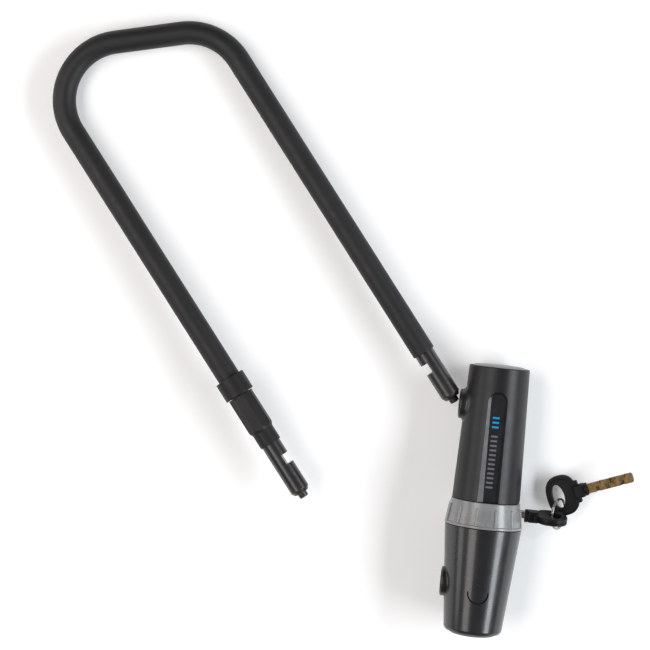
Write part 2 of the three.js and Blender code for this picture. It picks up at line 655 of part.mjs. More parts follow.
const turningCylinder = group([
  mesh('cylinder_core', cylinderCore(), BRASS, 0.4, 1),
  mesh('keyway_plate', keywayPlate(), STEEL, 0.3, 1),
  mesh('side_bar', sideBar(), STEEL, 0.3, 1),
  mesh('drive_cam', driveCam(), STEEL, 0.35, 1),
  ...Array.from({ length: DISC_COUNT }, (_, i) => mesh(`lock_disc_${i + 1}`, lockDisc(i), BRASS, 0.4, 1)),
  keyInLock,
  ringOnKey,
  spareKey,
], [0, KEY_Y, 0]);

const shackle = group([
  mesh('shackle_bar', shackleBar(), BLACK_STEEL, 0.45, 1),
  mesh('shackle_sleeve', shackleSleeve(), BLACK_RUBBER, 0.7),
  group([
    mesh('adapter_collar', adapterCollar(), BLACK_PLASTIC, 0.5),
    mesh('bracket_adapter', adapterBody(), BLACK_PLASTIC, 0.5),
  ], [0, -LEG_SPACING, 0]),
], [-BOSS_FACE - TIP_GAP, along(TIP_STATION), 0], [0, 0, LEG_TO_CROSSBAR - 90]);

// The crossbar rests on its upper end and on the rim of the dust ring
const restSlope = Math.atan2(RING_RIM_RADIUS - UPPER_END_RADIUS, RING_FOOT - 0.8);
const crossbar = group(
  [
    ...coverPieces, upperCap, lowerCap, ...socketPieces, ...guidePieces, fixedCylinder,
    mesh('dust_ring', dustRing(), 0x97999c, 0.35), upperBolt, lowerBolt, turningCylinder, shackle,
  ],
  [0, 0, 0],
  [-THREE.MathUtils.radToDeg(restSlope), CROSSBAR_ROLL, 0],
);

// The origin is under the middle of the whole object, on the table
const uLock = group([crossbar]);
uLock.updateMatrixWorld(true);
const bounds = new THREE.Box3().setFromObject(uLock, true);
const middle = bounds.getCenter(new THREE.Vector3());
uLock.position.set(-middle.x, -middle.y, -bounds.min.z);
uLock.updateMatrixWorld(true);

export default uLock;
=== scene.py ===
"""A long-shackle U lock lying open on a pale floor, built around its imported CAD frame."""
import json
import math

import bmesh
import bpy
from mathutils import Matrix, Vector, noise


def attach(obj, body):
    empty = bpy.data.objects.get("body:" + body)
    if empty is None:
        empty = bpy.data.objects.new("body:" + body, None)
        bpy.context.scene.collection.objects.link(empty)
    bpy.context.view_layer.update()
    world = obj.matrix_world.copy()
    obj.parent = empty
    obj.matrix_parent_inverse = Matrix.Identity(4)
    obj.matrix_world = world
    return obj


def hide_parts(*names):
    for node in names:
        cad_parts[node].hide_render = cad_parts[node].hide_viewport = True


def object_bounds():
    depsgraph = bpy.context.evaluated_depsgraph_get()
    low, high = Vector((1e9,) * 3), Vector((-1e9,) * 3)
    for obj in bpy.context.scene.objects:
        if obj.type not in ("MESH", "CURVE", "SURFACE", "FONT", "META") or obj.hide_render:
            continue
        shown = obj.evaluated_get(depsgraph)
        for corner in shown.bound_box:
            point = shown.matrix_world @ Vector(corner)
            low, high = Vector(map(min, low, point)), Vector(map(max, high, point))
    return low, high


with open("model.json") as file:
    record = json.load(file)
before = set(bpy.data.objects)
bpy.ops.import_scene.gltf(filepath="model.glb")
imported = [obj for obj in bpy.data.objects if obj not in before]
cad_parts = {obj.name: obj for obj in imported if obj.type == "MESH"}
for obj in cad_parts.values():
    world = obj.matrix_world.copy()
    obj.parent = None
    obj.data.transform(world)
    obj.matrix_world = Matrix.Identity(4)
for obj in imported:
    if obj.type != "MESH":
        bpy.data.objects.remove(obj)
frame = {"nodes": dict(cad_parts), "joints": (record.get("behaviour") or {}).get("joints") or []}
cad_low, cad_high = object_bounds()

MM = 0.001
joints = {joint["name"]: joint for joint in frame["joints"]}

# Crossbar sizes in millimetres. Stations run along its axis from the upper end.
CROSSBAR_LENGTH = 186
UPPER_END_RADIUS = 21.1
UPPER_FOOT_RADIUS = 23.75
RING_HEAD = 93.5
RING_FOOT = 111.5
RING_HEAD_RADIUS = 24.2
RING_RIM_RADIUS = 27.15
LOWER_HEAD_RADIUS = 26.9
LOWER_FOOT_RADIUS = 20.4
SPIGOT_RADIUS = 21.4
SPIGOT_SPLIT = 101
TUBE_RADIUS = 19.2
TUBE_BORE = 16.4
COVER_BORE = 19.5
TUBE_FOOT = 178
INLAY_HEAD = 17
RIM_HALF = (6.6, 7.3)
LEFT_BANK = (2.0, 4.1)
RIGHT_BANK = (0.5, 0.9)
BED_LEVEL = (19.5, 20.8)
ARC_FOOT = 164
ARC_WIDTH = 15
ARC_LINE = 1.1
ARC_DEPTH = 1.6
RIB_COUNT = 12
RIB_RADIUS = 24.9
RIB_HEAD = 97.6
RIB_LENGTH = 12.2
RIM_STEP = 0.75
RIM_HEIGHT = 1.9
KEY_SLOT_RADIUS = 4.8
KEY_SLOT_ENDS = (0.2, -8.1)
UPPER_SOCKET = 28.2
LOWER_SOCKET = 153.2
BOSS_RADIUS = 10.35
BOSS_FACE = 25.5
BOSS_ROUND = 1.1
BOSS_BACK = -14.0
MOUTH_DEPTH = 5.0
MOUTH_RADIUS = 8.7
SEAL_RADII = (7.3, 8.35)
SEAL_HEIGHT = 1.1
SOCKET_RADIUS = 7.5
KEY_STATION = 101.6
HOUSING_RADIUS = 10.8
LOWER_CAP_SEAT = 18.2
CAP_SKIRT = -8.7
CAP_FOOT = -14
FIT = 0.3  # gap left between two pieces that fit into each other

# Shackle sizes in millimetres, measured back from a leg's flat end where they run along a leg
LEG_SPACING = 125
BAR_RADIUS = 7
SLEEVE_RADIUS = 8.3
SKIN_INSET = 0.16
BEND_RADIUS = 41
SHARP_TURN = math.radians(115)
LOWER_LEG_LENGTH = 300
BARE_UPPER = 37.2
NOTCH_NEAR = 22.6
NOTCH_LENGTH = 7.3
NOTCH_DEPTH = 4.8
NIB_RADIUS = 3.25
NIB_LENGTH = 3.5
COLLAR_RADIUS = 10.8
COLLAR_START = 95.4
COLLAR_END = 81.1
ADAPTER_ACROSS_FLATS = 17.4
ADAPTER_SIDES = 8
ADAPTER_TURN = -17.5
ADAPTER_END = 51.5
FOOT_RADIUS = 7.95
FOOT_END = 40.7
TIP_X = -30.6
TIP_STATION = 24.8
LEG_TO_CROSSBAR = 38.3

# Key sizes in millimetres
KEY_ROOT = 28
BLADE_LENGTH = 33.2
BLADE_RADIUS = 3.65
BLADE_FLAT = 1.3
NECK_LENGTH = 7.4
BOW_LENGTH = 22.3
BOW_WIDTH = 28.7
BOW_THICKNESS = 5
BOW_HOLE_CENTRE = NECK_LENGTH + 14
BOW_HOLE = (4.25, 8.5)
KEY_ROLL = 7
DISC_PITCH = 2.6
KEY_CUTS = (24, -30, 8, 34, -14, 22, -34)
SPLIT_RING_RADIUS = 10.6
SPLIT_RING_WIRE = (0.76, 0.44)
SPLIT_RING_LEAN = -30
SPLIT_RING_CENTRE = (53, 2, -15.2)
SPARE_KEY_YAW = 22.6
SPARE_KEY_PITCH = 14
SPARE_BOW_CENTRE = (54.8, 15.2, -18.4)

# Camera, fitted to how the object lies
CAMERA_PLACE = (0.0242, 0.1002, 1.3365)
CAMERA_TURN = (-4.277, 1.486, 5.959)
CAMERA_LENS = 104.4
SENSOR = 36
CAMERA_CLIP = (0.05, 20)

# Stage: floor size in metres, and each light's place, aim, size (along Y, width), power and colour
FLOOR_HALF = 8.0
FLOOR_GAP = 0.0004
BACKDROP_COLOUR = (0.95, 0.97, 1.0, 1)
BACKDROP_STRENGTH = 0.16
SOFTBOXES = {
    "right_strip": ((1.32, -0.1, 0.94), (0.1, -0.1, 0), (1.6, 0.48), 25, (0.92, 0.96, 1.0)),
    "left_box": ((-0.72, -0.05, 1.32), (0.05, -0.05, 0), (1.6, 0.62), 13, (1.0, 0.95, 0.91)),
    "left_fill": ((-1.5, 0.0, 0.6), (0.0, 0.0, 0), (1.4, 0.5), 7, (1.0, 0.98, 0.96)),
}


def along(station):
    return CROSSBAR_LENGTH / 2 - station


def place_at(parent, position, turn=Matrix.Identity(3)):
    return parent @ Matrix.Translation(Vector(position) * MM) @ turn.to_4x4()


def spin(axis, degrees):
    return Matrix.Rotation(math.radians(degrees), 3, axis)


# The pieces' own frames: the crossbar has its axis along Y, its sockets on -X and the key on +X
def crossbar_frame():
    y_axis = -Vector(joints["dust_ring_turn"]["axis"]).normalized()
    z_axis = Vector(joints["key_turn"]["axis"]).cross(y_axis).normalized()
    columns = (y_axis.cross(z_axis), y_axis, z_axis)
    turn = Matrix(columns).transposed()
    return Matrix.Translation(joints["dust_ring_turn"]["pos_m"]) @ turn.to_4x4()


CROSSBAR = crossbar_frame()
SHACKLE = place_at(CROSSBAR, (TIP_X, along(TIP_STATION), 0), spin("Z", LEG_TO_CROSSBAR - 90))
LEG = place_at(SHACKLE, (0, -LEG_SPACING, 0))
KEY_AXIS = place_at(CROSSBAR, (0, along(KEY_STATION), 0))
KEY = place_at(KEY_AXIS, (KEY_ROOT, 0, 0), spin("X", KEY_ROLL))
SPLIT_RING = place_at(KEY_AXIS, SPLIT_RING_CENTRE, spin("Y", SPLIT_RING_LEAN))
SPARE_BOW = place_at(
    KEY_AXIS,
    SPARE_BOW_CENTRE,
    spin("Z", SPARE_KEY_YAW + 180) @ spin("Y", SPARE_KEY_PITCH) @ spin("X", -90),
)
SPARE_KEY = place_at(SPARE_BOW, (-NECK_LENGTH - BOW_LENGTH / 2, 0, 0))


# Mesh tools. Points are in millimetres of the piece's own frame.
def mesh_object(name, points, faces, place):
    data = bpy.data.meshes.new(name)
    data.from_pydata([Vector(p) * MM for p in points], [], faces)
    piece = bpy.data.objects.new(name, data)
    bpy.context.scene.collection.objects.link(piece)
    piece.matrix_world = place
    tidy(data)
    return piece


def tidy(data):
    """Merges doubled points and turns every face outwards."""
    work = bmesh.new()
    work.from_mesh(data)
    bmesh.ops.remove_doubles(work, verts=work.verts, dist=1e-7)
    bmesh.ops.recalc_face_normals(work, faces=work.faces)
    work.to_mesh(data)
    work.free()


def rounded(outline, is_closed, steps=4):
    """The outline with each corner (a, b, radius) turned into an arc; corners without a radius stay."""
    result = []
    count = len(outline)
    for i, corner in enumerate(outline):
        here = Vector(corner[:2])
        radius = corner[2] if len(corner) > 2 else 0
        is_end = not is_closed and i in (0, count - 1)
        if radius <= 0 or is_end:
            result.append(here)
            continue
        before = (Vector(outline[i - 1][:2]) - here).normalized()
        after = (Vector(outline[(i + 1) % count][:2]) - here).normalized()
        half = before.angle(after) / 2
        reach = radius / math.tan(half)
        centre = here + (before + after).normalized() * radius / math.sin(half)
        start = here + before * reach - centre
        end = here + after * reach - centre
        sweep = start.angle_signed(end)
        for k in range(steps + 1):
            result.append(centre + Matrix.Rotation(-sweep * k / steps, 2) @ start)
    return result


def lathe(name, outline, place, axis="Y", sides=128, is_closed=True, steps=4):
    """A body turned about its own Y or X axis from corners (radius, place along the axis, rounding)."""
    profile = rounded(outline, is_closed, steps)
    points, rows = [], []
    for radius, height in profile:
        row = []
        for k in range(1 if radius < 1e-6 else sides):
            turn = 2 * math.pi * k / sides
            u, v = radius * math.cos(turn), radius * math.sin(turn)
            row.append(len(points))
            points.append((u, height, v) if axis == "Y" else (height, u, v))
        rows.append(row)
    faces = []
    last = len(rows) if is_closed else len(rows) - 1
    for i in range(last):
        low, high = rows[i], rows[(i + 1) % len(rows)]
        for k in range(sides):
            n = (k + 1) % sides
            if len(low) == 1:
                faces.append((low[0], high[k], high[n]))
            elif len(high) == 1:
                faces.append((low[k], high[0], low[n]))
            else:
                faces.append((low[k], high[k], high[n], low[n]))
    return mesh_object(name, points, faces, place)


def prism(name, outline, low, high, place, axis="Z"):
    """An outline raised along an axis."""
    points = []
    for level in (low, high):
        for a, b in outline:
            corners = {"Z": (a, b, level), "X": (level, a, b), "Y": (a, level, b)}
            points.append(corners[axis])
    n = len(outline)
    sides = [(i, (i + 1) % n, n + (i + 1) % n, n + i) for i in range(n)]
    return mesh_object(name, points, [*sides, tuple(range(n))[::-1], tuple(range(n, 2 * n))], place)


def block(name, low, high, place, turn=Matrix.Identity(3)):
    (x0, y0, z0), (x1, y1, z1) = low, high
    corners = [(x, y, z) for x in (x0, x1) for y in (y0, y1) for z in (z0, z1)]
    faces = [(0, 1, 3, 2), (4, 6, 7, 5), (0, 4, 5, 1), (2, 3, 7, 6), (0, 2, 6, 4), (1, 5, 7, 3)]
    return mesh_object(name, [turn @ Vector(c) for c in corners], faces, place)


def settle(piece):
    """Turns a piece's modifiers into its mesh."""
    bpy.context.view_layer.update()
    made = piece.evaluated_get(bpy.context.evaluated_depsgraph_get())
    data = bpy.data.meshes.new_from_object(made)
    piece.modifiers.clear()
    old = piece.data
    piece.data = data
    bpy.data.meshes.remove(old)


def combine(piece, tools, operation):
    for tool in tools:
        boolean = piece.modifiers.new("cut", "BOOLEAN")
        boolean.operation = operation
        boolean.solver = "EXACT"
        boolean.object = tool
    settle(piece)
    for tool in tools:
        bpy.data.objects.remove(tool)
    return piece


def cut(piece, *tools):
    return combine(piece, tools, "DIFFERENCE")


def join(piece, *tools):
    return combine(piece, tools, "UNION")


def keep_common(piece, tool):
    return combine(piece, [tool], "INTERSECT")


def soften(piece, width, steps=2, angle=32):
    """Rounds the piece's sharp edges."""
    bevel = piece.modifiers.new("edges", "BEVEL")
    bevel.width = width * MM
    bevel.segments = steps
    bevel.limit_method = "ANGLE"
    bevel.angle_limit = math.radians(angle)
    bevel.miter_outer = "MITER_ARC"
    settle(piece)
    return piece


def smooth(piece, angle=40):
    piece.data.shade_smooth()
    piece.data.set_sharp_from_angle(angle=math.radians(angle))
    weighted = piece.modifiers.new("even_normals", "WEIGHTED_NORMAL")
    weighted.keep_sharp = True
    return piece


def dress(piece, body, nodes, slot, *materials, angle=40):
    """Gives a finished piece its materials and its body, and hides the CAD nodes that it stands for."""
    piece.data.transform(piece.matrix_world)
    piece.matrix_world = Matrix.Identity(4)
    piece.data.materials.clear()
    for material in materials:
        piece.data.materials.append(material)
    smooth(piece, angle)
    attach(piece, body)
    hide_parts(*nodes)
    return piece


# Materials
class Nodes:
    """A small helper that wires one material's nodes."""

    def __init__(self, name, place=Matrix.Identity(4)):
        self.material = bpy.data.materials.new(name)
        self.material.use_nodes = True
        self.tree = self.material.node_tree
        self.shader = self.tree.nodes["Principled BSDF"]
        inverse = place.inverted()
        local = self.add("ShaderNodeMapping")
        local.inputs["Location"].default_value = inverse.translation
        local.inputs["Rotation"].default_value = inverse.to_euler("XYZ")
        self.link(self.add("ShaderNodeTexCoord").outputs["Object"], local.inputs["Vector"])
        self.place = local.outputs["Vector"]

    def add(self, kind, **values):
        node = self.tree.nodes.new(kind)
        for key, value in values.items():
            setattr(node, key, value)
        return node

    def link(self, source, target):
        self.tree.links.new(source, target)

    def stretched(self, scale):
        mapping = self.add("ShaderNodeMapping")
        mapping.inputs["Scale"].default_value = scale
        self.link(self.place, mapping.inputs["Vector"])
        return mapping.outputs["Vector"]

    def noise(self, scale, detail=4.0, rough=0.55, stretch=(1, 1, 1)):
        node = self.add("ShaderNodeTexNoise")
        node.inputs["Scale"].default_value = scale
        node.inputs["Detail"].default_value = detail
        node.inputs["Roughness"].default_value = rough
        self.link(self.stretched(stretch), node.inputs["Vector"])
        return node.outputs["Fac"]

    def ramp(self, source, stops):
        node = self.add("ShaderNodeValToRGB")
        elements = node.color_ramp.elements
        while len(elements) < len(stops):
            elements.new(0.5)
        for element, (position, value) in zip(elements, stops):
            element.position = position
            element.color = (*value, 1) if isinstance(value, tuple) else (value, value, value, 1)
        self.link(source, node.inputs["Fac"])
        return node.outputs["Color"]

    def fade(self, source, start=0.3, end=0.7):
        return self.ramp(source, [(start, 0.0), (end, 1.0)])

    def mix(self, factor, first, second):
        node = self.add("ShaderNodeMix", data_type="RGBA")
        for key, value in (("Factor_Float", factor), ("A_Color", first), ("B_Color", second)):
            socket = next(entry for entry in node.inputs if entry.identifier == key)
            if isinstance(value, bpy.types.NodeSocket):
                self.link(value, socket)
            else:
                socket.default_value = (*value, 1) if isinstance(value, tuple) else value
        return node.outputs["Result"]

    def math(self, operation, first, second=0.0):
        node = self.add("ShaderNodeMath", operation=operation)
        for socket, value in zip(node.inputs, (first, second)):
            if isinstance(value, bpy.types.NodeSocket):
                self.link(value, socket)
            else:
                socket.default_value = value
        return node.outputs["Value"]

    def bump(self, *layers):
        """Each layer is (height, distance in metres)."""
        normal = None
        for height, distance in layers:
            node = self.add("ShaderNodeBump")
            node.inputs["Distance"].default_value = distance
            self.link(height, node.inputs["Height"])
            if normal is not None:
                self.link(normal, node.inputs["Normal"])
            normal = node.outputs["Normal"]
        self.link(normal, self.shader.inputs["Normal"])

    def feed(self, socket, source):
        self.link(source, self.shader.inputs[socket])

    def fixed(self, **values):
        for key, value in values.items():
            self.shader.inputs[key.replace("_", " ")].default_value = value


def plastic(name, place, dark, light, rough, grain, coat=0.0, shine=0.42, scuffs=0.25):
    """Moulded plastic: mottled colour, fine grain and a few light scuffs."""
    nodes = Nodes(name, place)
    mottle = nodes.noise(38, 5, 0.6)
    colour = nodes.mix(nodes.fade(mottle, 0.3, 0.72), dark, light)
    scratch = nodes.fade(nodes.noise(160, 3, 0.5, (1, 0.08, 1)), 0.66, 0.74)
    patch = nodes.fade(nodes.noise(26, 3), 0.5, 0.7)
    marks = nodes.math("MULTIPLY", nodes.math("MULTIPLY", scratch, patch), scuffs)
    nodes.feed("Base Color", nodes.mix(marks, colour, tuple(min(1, 2.4 * c + 0.03) for c in light)))
    low, high = rough
    nodes.feed("Roughness", nodes.ramp(nodes.noise(90, 4, 0.6), [(0.25, low), (0.75, high)]))
    nodes.fixed(Coat_Weight=coat, Coat_Roughness=0.12, IOR=1.5, Specular_IOR_Level=shine)
    nodes.bump((nodes.noise(1500, 2, 0.6), grain * MM), (marks, 0.02 * MM))
    return nodes.material


def metal(name, place, dark, light, rough, brush=(1, 1, 1), tarnish=(0.2, 0.15, 0.1), spots=0.3):
    """Machined metal: brushed roughness, slight tarnish and small dents."""
    nodes = Nodes(name, place)
    brushed = nodes.noise(420, 4, 0.65, brush)
    colour = nodes.mix(nodes.fade(brushed), dark, light)
    stain = nodes.math("MULTIPLY", nodes.fade(nodes.noise(120, 5, 0.65), 0.55, 0.75), spots)
    nodes.feed("Base Color", nodes.mix(stain, colour, tarnish))
    low, high = rough
    nodes.feed("Roughness", nodes.ramp(brushed, [(0.25, low), (0.75, high)]))
    nodes.fixed(Metallic=1.0)
    nodes.bump((brushed, 0.012 * MM), (nodes.noise(300, 2), 0.02 * MM))
    return nodes.material


def sleeve_rubber():
    """Soft vinyl sleeve: even matt black with faint rub marks along its length."""
    nodes = Nodes("sleeve_vinyl", SHACKLE)
    cloud = nodes.noise(22, 5, 0.6)
    colour = nodes.mix(nodes.fade(cloud), (0.0055, 0.0055, 0.006), (0.0095, 0.0092, 0.0092))
    rub = nodes.fade(nodes.noise(70, 6, 0.7), 0.6, 0.78)
    marks = nodes.math("MULTIPLY", rub, 0.22)
    nodes.feed("Base Color", nodes.mix(marks, colour, (0.024, 0.023, 0.023)))
    nodes.feed("Roughness", nodes.ramp(nodes.noise(130, 5, 0.65), [(0.3, 0.5), (0.7, 0.62)]))
    nodes.fixed(Specular_IOR_Level=0.42, Sheen_Weight=0.03, Sheen_Roughness=0.4)
    nodes.bump((nodes.noise(900, 3, 0.6), 0.03 * MM), (nodes.noise(60, 3), 0.12 * MM))
    return nodes.material


def bar_steel():
    """Black-finished hardened bar, glossy, with brown wear near the leg ends."""
    nodes = Nodes("black_bar", SHACKLE)
    brushed = nodes.noise(300, 4, 0.6, (0.2, 1, 1))
    colour = nodes.mix(nodes.fade(brushed), (0.007, 0.007, 0.008), (0.016, 0.015, 0.015))
    split = nodes.add("ShaderNodeSeparateXYZ")
    nodes.link(nodes.place, split.inputs["Vector"])
    reach = nodes.add("ShaderNodeMapRange")
    reach.inputs["From Min"].default_value = -7 * MM
    reach.inputs["From Max"].default_value = 1 * MM
    nodes.link(split.outputs["X"], reach.inputs["Value"])
    patch = nodes.fade(nodes.noise(260, 5, 0.7), 0.42, 0.6)
    worn = nodes.math("MULTIPLY", reach.outputs["Result"], patch)
    nodes.feed("Base Color", nodes.mix(worn, colour, (0.065, 0.052, 0.043)))
    nodes.feed("Metallic", nodes.math("MULTIPLY", worn, 0.8))
    nodes.feed("Roughness", nodes.ramp(brushed, [(0.3, 0.3), (0.7, 0.42)]))
    nodes.fixed(Coat_Weight=0.35, Coat_Roughness=0.22)
    nodes.bump((brushed, 0.015 * MM), (nodes.noise(700, 2), 0.015 * MM))
    return nodes.material


def ring_plastic():
    """Cloudy see-through grey plastic."""
    nodes = Nodes("ring_plastic", CROSSBAR)
    cloud = nodes.noise(45, 4, 0.6)
    colour = nodes.mix(nodes.fade(cloud), (0.18, 0.185, 0.186), (0.27, 0.275, 0.276))
    nodes.feed("Base Color", colour)
    nodes.feed("Roughness", nodes.ramp(nodes.noise(140, 4), [(0.3, 0.24), (0.7, 0.36)]))
    nodes.fixed(Subsurface_Weight=0.18, Subsurface_Scale=0.003, IOR=1.49)
    nodes.fixed(Coat_Weight=0.3, Coat_Roughness=0.15)
    nodes.bump((nodes.noise(1100, 2), 0.012 * MM), (nodes.noise(90, 3), 0.08 * MM))
    return nodes.material


def inlay_gloss():
    """Gloss black strip, printed with a plain ladder of short grey bars and three blue ones."""
    nodes = Nodes("inlay_gloss", CROSSBAR)
    split = nodes.add("ShaderNodeSeparateXYZ")
    nodes.link(nodes.place, split.inputs["Vector"])
    across, run = split.outputs["X"], split.outputs["Y"]

    def between(value, low, high):
        above = nodes.math("GREATER_THAN", value, low * MM)
        return nodes.math("MULTIPLY", above, nodes.math("LESS_THAN", value, high * MM))

    pitch = nodes.math("FRACT", nodes.math("DIVIDE", run, 3.2 * MM))
    bars = nodes.math("MULTIPLY", nodes.math("LESS_THAN", pitch, 0.42), between(across, -2.3, 2.3))
    grey = nodes.math("MULTIPLY", bars, between(run, 9.4, 46.2))
    blue = nodes.math("MULTIPLY", bars, between(run, 50.6, 60.8))
    speck = nodes.noise(240, 4)
    black = nodes.mix(speck, (0.006, 0.006, 0.008), (0.014, 0.014, 0.017))
    printed = nodes.mix(grey, black, (0.12, 0.123, 0.135))
    nodes.feed("Base Color", nodes.mix(blue, printed, (0.008, 0.25, 0.52)))
    nodes.feed("Roughness", nodes.ramp(nodes.noise(120, 4), [(0.3, 0.3), (0.7, 0.42)]))
    nodes.fixed(Coat_Weight=0.1, Coat_Roughness=0.2, Specular_IOR_Level=0.36)
    nodes.bump((nodes.noise(900, 2), 0.006 * MM))
    return nodes.material


COVER = plastic("cover_satin", CROSSBAR, (0.008, 0.0078, 0.009), (0.013, 0.0122, 0.014), (0.36, 0.46), 0.02,
                shine=0.34)
GLOSS = plastic("cover_gloss", CROSSBAR, (0.011, 0.0112, 0.013), (0.016, 0.016, 0.018), (0.24, 0.34), 0.01,
                coat=0.3)
CAP = plastic("cap_satin", CROSSBAR, (0.24, 0.24, 0.245), (0.31, 0.31, 0.315), (0.38, 0.52), 0.02)
FOOT_CAP = plastic("foot_cap", CROSSBAR, (0.02, 0.02, 0.022), (0.03, 0.03, 0.032), (0.35, 0.5), 0.02)
BOSS = plastic("boss_satin", CROSSBAR, (0.008, 0.008, 0.0085), (0.013, 0.0125, 0.013), (0.28, 0.4), 0.01,
               coat=0.2)
ADAPTER = plastic("adapter_satin", LEG, (0.006, 0.0056, 0.0056), (0.011, 0.0102, 0.0102), (0.44, 0.56), 0.02,
                  shine=0.34)
KEY_PLASTIC = plastic("key_plastic", KEY, (0.003, 0.003, 0.0034), (0.006, 0.006, 0.0064), (0.42, 0.56), 0.02,
                      shine=0.22)
SEAL = plastic("seal_rubber", CROSSBAR, (0.005, 0.005, 0.005), (0.008, 0.008, 0.008), (0.6, 0.75), 0.03)
RING = ring_plastic()
INLAY = inlay_gloss()
VINYL = sleeve_rubber()
BAR = bar_steel()
STEEL = metal("tube_steel", CROSSBAR, (0.30, 0.31, 0.32), (0.46, 0.47, 0.48), (0.3, 0.45), (1, 0.1, 1))
ZINC = metal("cast_zinc", CROSSBAR, (0.36, 0.37, 0.38), (0.5, 0.51, 0.52), (0.4, 0.55))
PIN = metal("ground_pin", CROSSBAR, (0.42, 0.43, 0.44), (0.62, 0.63, 0.64), (0.2, 0.32), (1, 1, 0.1))
NICKEL = metal("key_nickel", SPARE_KEY, (0.24, 0.225, 0.2), (0.4, 0.38, 0.35), (0.28, 0.42), (0.15, 1, 1))
GOLD = ((0.36, 0.22, 0.07), (0.62, 0.42, 0.16))
WORN_GOLD = ((0.12, 0.075, 0.032), (0.27, 0.18, 0.085))
CUT_BRASS = metal("cut_brass", SPARE_KEY, *WORN_GOLD, (0.42, 0.58), (1, 0.3, 1), (0.1, 0.055, 0.03), 0.75)
BRASS = metal("core_brass", KEY_AXIS, *GOLD, (0.26, 0.42), (1, 0.2, 1), (0.16, 0.08, 0.03), 0.5)
WIRE = metal("ring_wire", SPLIT_RING, (0.3, 0.29, 0.28), (0.5, 0.49, 0.47), (0.22, 0.36))


# Crossbar covers
def radius_between(station, head, head_radius, foot, foot_radius):
    return head_radius + (foot_radius - head_radius) * (station - head) / (foot - head)


def upper_radius(station):
    return radius_between(station, 0, UPPER_END_RADIUS, RING_HEAD, UPPER_FOOT_RADIUS)


def lower_radius(station):
    return radius_between(station, RING_FOOT, LOWER_HEAD_RADIUS, CROSSBAR_LENGTH - 2, LOWER_FOOT_RADIUS)


def tongue(width, straight, end, steps=24):
    """Outline of a strip along Y from a straight end to a round end."""
    towards = math.copysign(1, end - straight)
    centre = end - towards * width / 2
    arc = [math.pi * k / steps for k in range(steps + 1)]
    curve = [(width / 2 * math.cos(t), centre + towards * width / 2 * math.sin(t)) for t in arc]
    return [(width / 2, straight), *curve, (-width / 2, straight)]


def inlay_trough(name, foot, outset, levels):
    """The inlay's trough: a flat bed between banks that widen towards the ring.

    Each level is (uses the rim, height above the rim's or bed's own place), from the top to the bottom.
    """
    centre = along(INLAY_HEAD) - RIM_HALF[0]

    def side(bank):
        line = []
        for k in range(9):
            y = along(foot) + (centre - along(foot)) * k / 8
            share = (centre - y) / (centre - along(RING_HEAD))
            half = RIM_HALF[0] + (RIM_HALF[1] - RIM_HALF[0]) * share
            line.append(((half + outset, y), (half - bank[0] - (bank[1] - bank[0]) * share, y)))
        return line

    plan = side(RIGHT_BANK)
    for k in range(1, 24):
        t = math.pi * k / 24
        bank = RIGHT_BANK[0] + (LEFT_BANK[0] - RIGHT_BANK[0]) * k / 24
        reaches = (RIM_HALF[0] + outset, RIM_HALF[0] - bank)
        plan.append(tuple((reach * math.cos(t), centre + reach * math.sin(t)) for reach in reaches))
    plan += [tuple((-x, y) for x, y in pair) for pair in side(LEFT_BANK)[::-1]]
    points, rows = [], []
    for is_rim, lift in levels:
        rows.append([len(points) + i for i in range(len(plan))])
        for pair in plan:
            x, y = pair[0 if is_rim else 1]
            share = (along(INLAY_HEAD) - y) / (RING_HEAD - INLAY_HEAD)
            bed = BED_LEVEL[0] + (BED_LEVEL[1] - BED_LEVEL[0]) * share
            rim = math.sqrt(upper_radius(CROSSBAR_LENGTH / 2 - y) ** 2 - x * x)
            points.append((x, y, (rim if is_rim else bed) + lift))
    n = len(plan)
    faces = []
    for low, high in zip(rows, rows[1:]):
        faces += [(low[i], low[(i + 1) % n], high[(i + 1) % n], high[i]) for i in range(n)]
    faces += [tuple(rows[0])[::-1], tuple(rows[-1])]
    return mesh_object(name, points, faces, CROSSBAR)


def socket_hole(station, reach):
    radius = BOSS_RADIUS - 0.6
    place = place_at(CROSSBAR, (0, along(station), 0))
    return lathe("socket", [(0, -reach), (radius, -reach), (radius, -12), (0, -12)], place, "X", 64, False)


def key_window():
    outline = [(0, 12), (HOUSING_RADIUS, 12), (HOUSING_RADIUS, 30), (0, 30)]
    return lathe("window", outline, KEY_AXIS, "X", 64, False)


def upper_cover():
    cover = lathe("upper_cover", [
        (COVER_BORE, along(0)), (UPPER_END_RADIUS, along(0), 0.9),
        (UPPER_FOOT_RADIUS, along(RING_HEAD), 0.35), (SPIGOT_RADIUS, along(RING_HEAD)),
        (SPIGOT_RADIUS, along(SPIGOT_SPLIT)), (COVER_BORE, along(SPIGOT_SPLIT)),
    ], CROSSBAR)
    recess = inlay_trough("recess", RING_HEAD + 1, 0.12, [(True, 4), (True, -0.8), (False, -0.28)])
    socket = socket_hole(UPPER_SOCKET, 30)
    window = key_window()
    cut(cover, recess, socket, window)
    soften(cover, 0.22, 2, 14)
    return dress(cover, "crossbar", ["upper_sleeve"], "satin_cover", COVER)


def inlay():
    levels = [(False, 0), (True, -0.2), (True, -0.7), (False, -0.25)]
    strip = inlay_trough("inlay_plate", RING_HEAD - 0.2, 0, levels)
    return dress(strip, "crossbar", ["inlay_strip"], "inlay", INLAY, angle=12)


